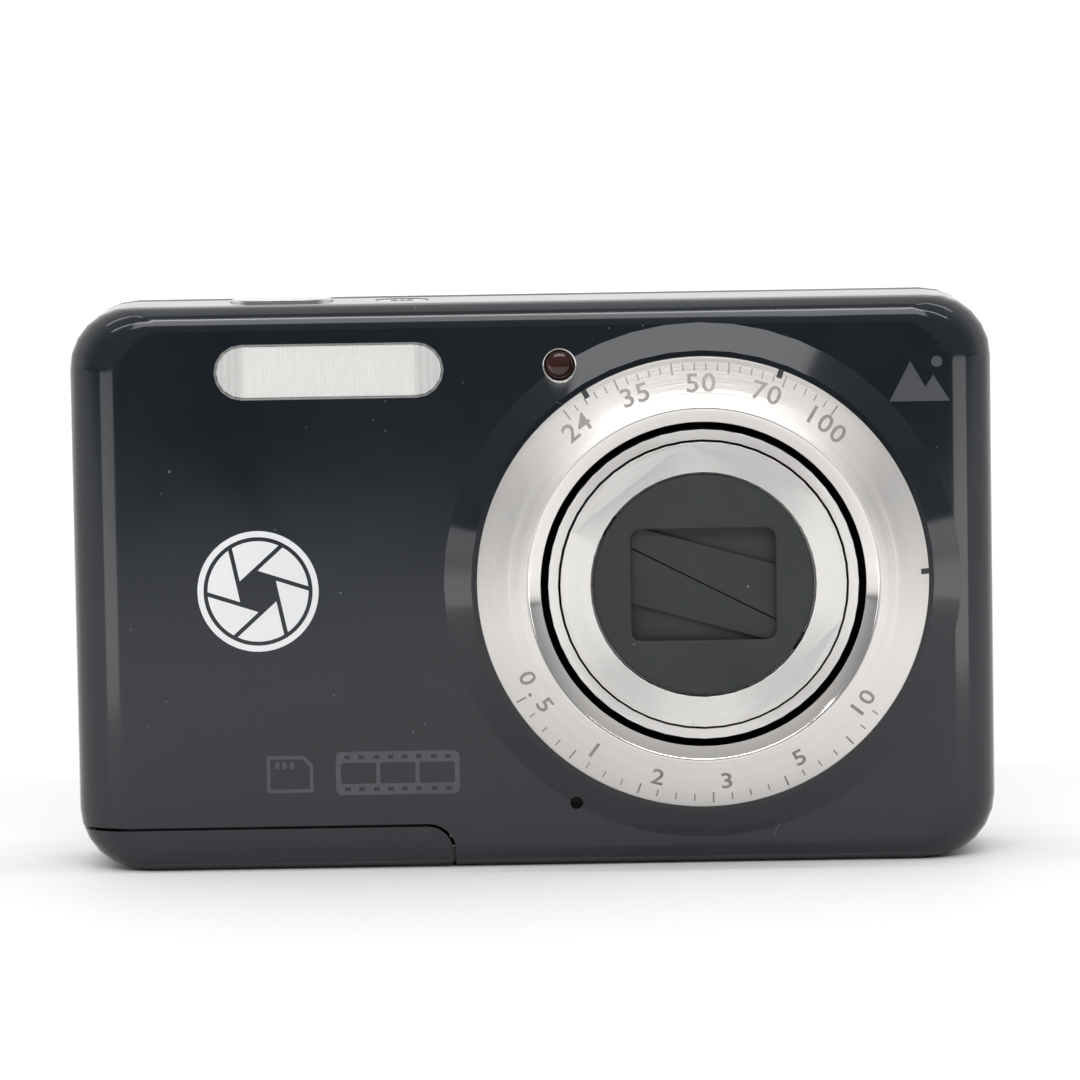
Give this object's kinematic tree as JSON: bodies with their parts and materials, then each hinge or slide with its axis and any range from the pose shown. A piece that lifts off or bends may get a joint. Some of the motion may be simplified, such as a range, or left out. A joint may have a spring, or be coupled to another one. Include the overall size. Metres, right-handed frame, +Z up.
{
  "type": "compact digital camera",
  "caption": "Compact digital camera with a telescoping zoom lens behind a blade barrier, built-in flash, rear screen, keys and a sliding, hinged battery door.",
  "frame": {"origin": "on the surface the camera stands on, under the middle of its bounding box", "axes": "+Z up, the lens looks along -Y, +X to the right when the camera is seen from the front"},
  "size_m": [0.0914, 0.023, 0.0565],
  "materials": {
    "gloss_black": "high gloss, faint wear",
    "satin_black": "satin moulded",
    "spun_metal": "spun and brushed rings",
    "matt_black": "matt",
    "inner_plastic": "moulded",
    "white_plastic": "moulded",
    "lens_glass": "coated optical glass",
    "clear_window": "clear moulded window",
    "amber_window": "polished, dark red brown",
    "screen_glass": "polished",
    "steel": "plated",
    "bright_metal": "bright plated",
    "board_green": "solder mask",
    "battery_grey": "matt",
    "card_blue": "satin",
    "brass": "machined",
    "rubber": "matt",
    "latch_orange": "moulded"
  },
  "bodies": {
    "case": {"front_cover": "gloss_black", "rear_cover": "satin_black", "lens_bezel": "spun_metal", "flash_window": "clear_window", "flash_reflector": "bright_metal", "flash_tube": "white_plastic", "flash_capacitor": "matt_black", "lamp_window": "amber_window", "microphone": "steel", "shutter_spring": "steel", "top_board": "board_green", "key_board": "board_green", "screen_window": "screen_glass", "screen_module": "steel", "chassis": "steel", "main_board": "board_green", "battery": "battery_grey", "battery_chamber": "inner_plastic", "battery_contacts": "brass", "memory_card": "card_blue", "card_socket": "steel", "tripod_socket": "steel", "strap_bar": "steel", "usb_socket": "steel", "speaker": "matt_black", "base_screw_left": "steel", "base_screw_right": "steel", "lens_housing": "inner_plastic", "lens_base": "inner_plastic", "image_sensor": "board_green", "focus_motor": "steel", "zoom_motor": "steel"},
    "shutter": {"shutter_button": "bright_metal"},
    "power": {"power_button": "bright_metal"},
    "rocker": {"zoom_rocker": "satin_black"},
    "record_key": {"record_button": "satin_black"},
    "menu_key": {"menu_button": "satin_black"},
    "play_key": {"play_button": "satin_black"},
    "delete_key": {"delete_button": "satin_black"},
    "set_key": {"set_button": "satin_black"},
    "nav_gimbal": {"nav_rubber": "rubber"},
    "nav": {"nav_ring": "satin_black"},
    "lens_guide": {"linear_guide": "matt_black"},
    "cam": {"cam_barrel": "spun_metal"},
    "front_barrel": {"inner_barrel": "spun_metal", "front_cap": "matt_black", "front_lens": "lens_glass"},
    "rear_group": {"rear_lens": "inner_plastic"},
    "upper_inner": {"upper_inner_blade": "matt_black"},
    "upper_outer": {"upper_outer_blade": "matt_black"},
    "lower_inner": {"lower_inner_blade": "matt_black"},
    "lower_outer": {"lower_outer_blade": "matt_black"},
    "drive": {"drive_gear": "white_plastic"},
    "motor_gear": {"motor_pinion": "brass"},
    "focus": {"focus_lens": "inner_plastic"},
    "lead_screw": {"focus_screw": "brass"},
    "latch": {"battery_latch": "latch_orange"},
    "door_pin": {"hinge_pin": "steel"},
    "door": {"battery_door": "gloss_black"}
  },
  "joints": [
    {"name": "shutter_press", "type": "slide", "parent": "case", "child": "shutter", "axis": [0, 0, -1], "range_m": [0, 0.001], "stiffness_N_per_m": 800, "springref_m": -0.0005, "deforming": ["shutter_spring"]},
    {"name": "power_press", "type": "slide", "parent": "case", "child": "power", "axis": [0, 0, -1], "range_m": [0, 0.0004], "stiffness_N_per_m": 1500, "springref_m": -0.0003},
    {"name": "zoom_rock", "type": "hinge", "parent": "case", "child": "rocker", "pos_m": [-0.03, 0.0088, 0.0484], "axis": [0, 0, 1], "range_deg": [-4, 4], "stiffness_Nm_per_rad": 0.1},
    {"name": "record_press", "type": "slide", "parent": "case", "child": "record_key", "axis": [0, -1, 0], "range_m": [0, 0.00035], "stiffness_N_per_m": 1500, "springref_m": -0.0003},
    {"name": "menu_press", "type": "slide", "parent": "case", "child": "menu_key", "axis": [0, -1, 0], "range_m": [0, 0.00035], "stiffness_N_per_m": 1500, "springref_m": -0.0003},
    {"name": "play_press", "type": "slide", "parent": "case", "child": "play_key", "axis": [0, -1, 0], "range_m": [0, 0.00035], "stiffness_N_per_m": 1500, "springref_m": -0.0003},
    {"name": "delete_press", "type": "slide", "parent": "case", "child": "delete_key", "axis": [0, -1, 0], "range_m": [0, 0.00035], "stiffness_N_per_m": 1500, "springref_m": -0.0003},
    {"name": "set_press", "type": "slide", "parent": "case", "child": "set_key", "axis": [0, -1, 0], "range_m": [0, 0.00035], "stiffness_N_per_m": 1500, "springref_m": -0.0003},
    {"name": "nav_tilt_up_down", "type": "hinge", "parent": "case", "child": "nav_gimbal", "pos_m": [-0.03, 0.009, 0.028], "axis": [1, 0, 0], "range_deg": [-2, 2], "stiffness_Nm_per_rad": 0.3},
    {"name": "nav_tilt_left_right", "type": "hinge", "parent": "nav_gimbal", "child": "nav", "pos_m": [-0.03, 0.009, 0.028], "axis": [0, 0, 1], "range_deg": [-2, 2], "stiffness_Nm_per_rad": 0.3},
    {"name": "lens_extend", "type": "slide", "parent": "case", "child": "lens_guide", "axis": [0, -1, 0], "range_m": [0, 0.0072]},
    {"name": "cam_turn", "type": "hinge", "parent": "lens_guide", "child": "cam", "pos_m": [0.0167, 0, 0.02835], "axis": [0, -1, 0], "range_deg": [0, 100]},
    {"name": "front_barrel_slide", "type": "slide", "parent": "lens_guide", "child": "front_barrel", "axis": [0, -1, 0], "range_m": [0, 0.01]},
    {"name": "rear_lens_slide", "type": "slide", "parent": "lens_guide", "child": "rear_group", "axis": [0, -1, 0], "range_m": [0, 0.002]},
    {"name": "upper_inner_blade_turn", "type": "hinge", "parent": "front_barrel", "child": "upper_inner", "pos_m": [0.0061, -0.01, 0.03425], "axis": [0, -1, 0], "range_deg": [0, 27.6]},
    {"name": "upper_outer_blade_turn", "type": "hinge", "parent": "front_barrel", "child": "upper_outer", "pos_m": [0.0061, -0.01, 0.03425], "axis": [0, -1, 0], "range_deg": [0, 14.6]},
    {"name": "lower_inner_blade_turn", "type": "hinge", "parent": "front_barrel", "child": "lower_inner", "pos_m": [0.0273, -0.01, 0.02245], "axis": [0, -1, 0], "range_deg": [0, 27.6]},
    {"name": "lower_outer_blade_turn", "type": "hinge", "parent": "front_barrel", "child": "lower_outer", "pos_m": [0.0273, -0.01, 0.02245], "axis": [0, -1, 0], "range_deg": [0, 14.6]},
    {"name": "drive_turn", "type": "hinge", "parent": "case", "child": "drive", "pos_m": [0.02978, 0, 0.04143], "axis": [0, -1, 0], "range_deg": [-825, 0]},
    {"name": "motor_turn", "type": "hinge", "parent": "case", "child": "motor_gear", "pos_m": [0.03374, 0, 0.04539], "axis": [0, -1, 0], "range_deg": [0, 2062]},
    {"name": "focus_slide", "type": "slide", "parent": "case", "child": "focus", "axis": [0, -1, 0], "range_m": [0, 0.0025]},
    {"name": "focus_screw_turn", "type": "hinge", "parent": "case", "child": "lead_screw", "pos_m": [0.00991, 0, 0.02156], "axis": [0, -1, 0], "range_deg": [0, 1800]},
    {"name": "latch_turn", "type": "hinge", "parent": "case", "child": "latch", "pos_m": [-0.0122, 0.0036, 0.0023], "axis": [0, 0, -1], "range_deg": [0, 60], "stiffness_Nm_per_rad": 0.002, "springref_deg": -17.19},
    {"name": "door_slide", "type": "slide", "parent": "case", "child": "door_pin", "axis": [-1, 0, 0], "range_m": [0, 0.002]},
    {"name": "door_swing", "type": "hinge", "parent": "door_pin", "child": "door", "pos_m": [-0.0092, 0, 0.0008], "axis": [0, -1, 0], "range_deg": [0, 90]}
  ],
  "couplings": [
    {"joint": "cam_turn", "follows": "lens_extend", "rad_per_m": 242},
    {"joint": "front_barrel_slide", "follows": "lens_extend", "ratio": 1.388},
    {"joint": "rear_lens_slide", "follows": "lens_extend", "ratio": 0.277},
    {"joint": "upper_inner_blade_turn", "follows": "lens_extend", "rad_per_m": 66.8},
    {"joint": "upper_outer_blade_turn", "follows": "lens_extend", "rad_per_m": 35.2},
    {"joint": "lower_inner_blade_turn", "follows": "lens_extend", "rad_per_m": 66.8},
    {"joint": "lower_outer_blade_turn", "follows": "lens_extend", "rad_per_m": 35.2},
    {"joint": "drive_turn", "follows": "lens_extend", "rad_per_m": -1996.5},
    {"joint": "motor_turn", "follows": "lens_extend", "rad_per_m": 4991.2},
    {"joint": "focus_screw_turn", "follows": "focus_slide", "rad_per_m": 12560}
  ]
}
